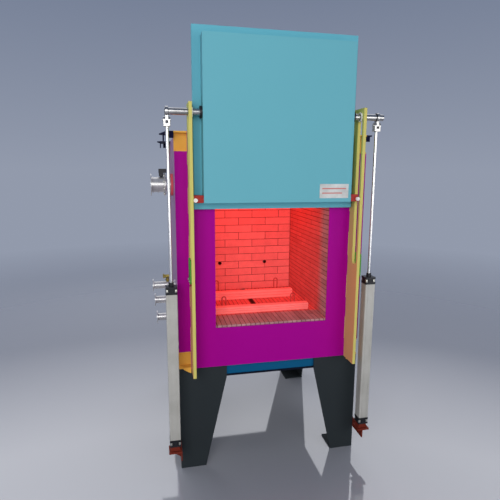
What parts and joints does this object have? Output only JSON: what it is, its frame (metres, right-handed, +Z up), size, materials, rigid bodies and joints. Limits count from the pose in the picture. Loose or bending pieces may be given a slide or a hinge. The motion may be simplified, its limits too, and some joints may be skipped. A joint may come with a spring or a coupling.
{
  "type": "kiln",
  "caption": "Standing chamber kiln on plate legs with a guided, vertically lifting door driven by a pneumatic cylinder on each side.",
  "frame": {"origin": "on the floor, at the centre of the four anchor holes in the feet", "axes": "+Z up; +Y to the rear, so the door is on the -Y side; +X to the right as seen from the front. Stored with the door raised."},
  "size_m": [1.497, 1.571, 2.854],
  "materials": {
    "magenta_paint": "semi-gloss powder coat",
    "lilac_paint": "semi-gloss powder coat",
    "blue_paint": "semi-gloss powder coat",
    "amber_paint": "semi-gloss powder coat",
    "dark_paint": "satin powder coat",
    "guide_paint": "satin paint",
    "green_paint": "satin paint",
    "navy_paint": "satin paint",
    "cyan_paint": "semi-gloss powder coat",
    "teal_paint": "semi-gloss powder coat",
    "red_paint": "satin paint",
    "brown_paint": "satin paint",
    "black_anodised": "black anodised",
    "firebrick": "dry pressed, matt",
    "refractory_beam": "matt, ribbed",
    "fibre_board": "matt ceramic fibre",
    "alumina": "matt",
    "heating_wire": "oxidised resistance alloy",
    "steel": "ground",
    "chromed_rod": "hard chromed, ground",
    "stainless": "brushed stainless",
    "aluminium_profile": "clear anodised extrusion",
    "zinc_bolts": "zinc plated",
    "brass": "turned",
    "black_plastic": "moulded",
    "label_plate": "satin, blank",
    "nylon": "machined"
  },
  "bodies": {
    "frame": {"front_plate": "magenta_paint", "side_panel_left": "lilac_paint", "side_panel_right": "lilac_paint", "rear_panel": "lilac_paint", "roof_panel": "lilac_paint", "floor_pan": "blue_paint", "top_front_beam": "amber_paint", "bottom_front_beam": "amber_paint", "rear_beams": "amber_paint", "leg_front_left": "dark_paint", "leg_front_right": "dark_paint", "leg_rear_left": "dark_paint", "leg_rear_right": "dark_paint", "lifting_lugs": "navy_paint", "guide_plate_left": "guide_paint", "guide_plate_right": "guide_paint", "slot_stops": "green_paint", "frame_fasteners": "zinc_bolts", "lining_floor": "firebrick", "lining_back_wall": "firebrick", "lining_right_wall": "firebrick", "lining_left_wall": "firebrick", "lining_roof": "firebrick", "lining_lintel": "firebrick", "insulation_boards": "fibre_board", "load_beam_front": "refractory_beam", "load_beam_rear": "refractory_beam", "beam_stops": "heating_wire", "element_supports": "alumina", "element_coils": "heating_wire", "wall_tubes": "alumina", "thermocouple": "stainless", "terminal_cover": "lilac_paint", "upper_port": "stainless", "upper_port_ring": "red_paint", "port_actuator": "black_plastic", "lower_ports": "stainless", "brass_elbow": "brass", "cylinder_barrels": "aluminium_profile", "cylinder_heads": "black_anodised", "cylinder_bases": "black_anodised", "cylinder_mounts": "brown_paint"},
    "door": {"door_back_panel": "teal_paint", "door_insulation": "fibre_board", "door_seal": "fibre_board", "door_front_shell": "cyan_paint", "door_shaft": "steel", "shaft_collars": "black_anodised", "shaft_lugs": "steel", "fork_pins": "steel", "roller_brackets": "red_paint", "nameplate": "label_plate"},
    "rod_left": {"piston_rod_left": "chromed_rod", "rod_fork_left": "steel"},
    "rod_right": {"piston_rod_right": "chromed_rod", "rod_fork_right": "steel"},
    "slot_roller_left": {"slot_roller_left": "nylon"},
    "slot_roller_right": {"slot_roller_right": "nylon"},
    "guide_roller_left": {"guide_roller_left": "nylon"},
    "guide_roller_right": {"guide_roller_right": "nylon"}
  },
  "joints": [
    {"name": "door_lift", "type": "slide", "parent": "frame", "child": "door", "axis": [0, 0, 1], "range_m": [-0.92, 0]},
    {"name": "rod_left_lift", "type": "slide", "parent": "frame", "child": "rod_left", "axis": [0, 0, 1], "range_m": [-0.92, 0]},
    {"name": "rod_right_lift", "type": "slide", "parent": "frame", "child": "rod_right", "axis": [0, 0, 1], "range_m": [-0.92, 0]},
    {"name": "slot_roller_left_spin", "type": "hinge", "parent": "door", "child": "slot_roller_left", "pos_m": [-0.536, -0.762, 2.36], "axis": [1, 0, 0], "continuous": true},
    {"name": "guide_roller_left_spin", "type": "hinge", "parent": "door", "child": "guide_roller_left", "pos_m": [-0.5174, -0.803, 1.851], "axis": [0, 1, 0], "continuous": true},
    {"name": "slot_roller_right_spin", "type": "hinge", "parent": "door", "child": "slot_roller_right", "pos_m": [0.536, -0.762, 2.36], "axis": [1, 0, 0], "continuous": true},
    {"name": "guide_roller_right_spin", "type": "hinge", "parent": "door", "child": "guide_roller_right", "pos_m": [0.5174, -0.803, 1.851], "axis": [0, 1, 0], "continuous": true}
  ],
  "couplings": [
    {"joint": "rod_left_lift", "follows": "door_lift", "ratio": 1},
    {"joint": "rod_right_lift", "follows": "door_lift", "ratio": 1}
  ]
}
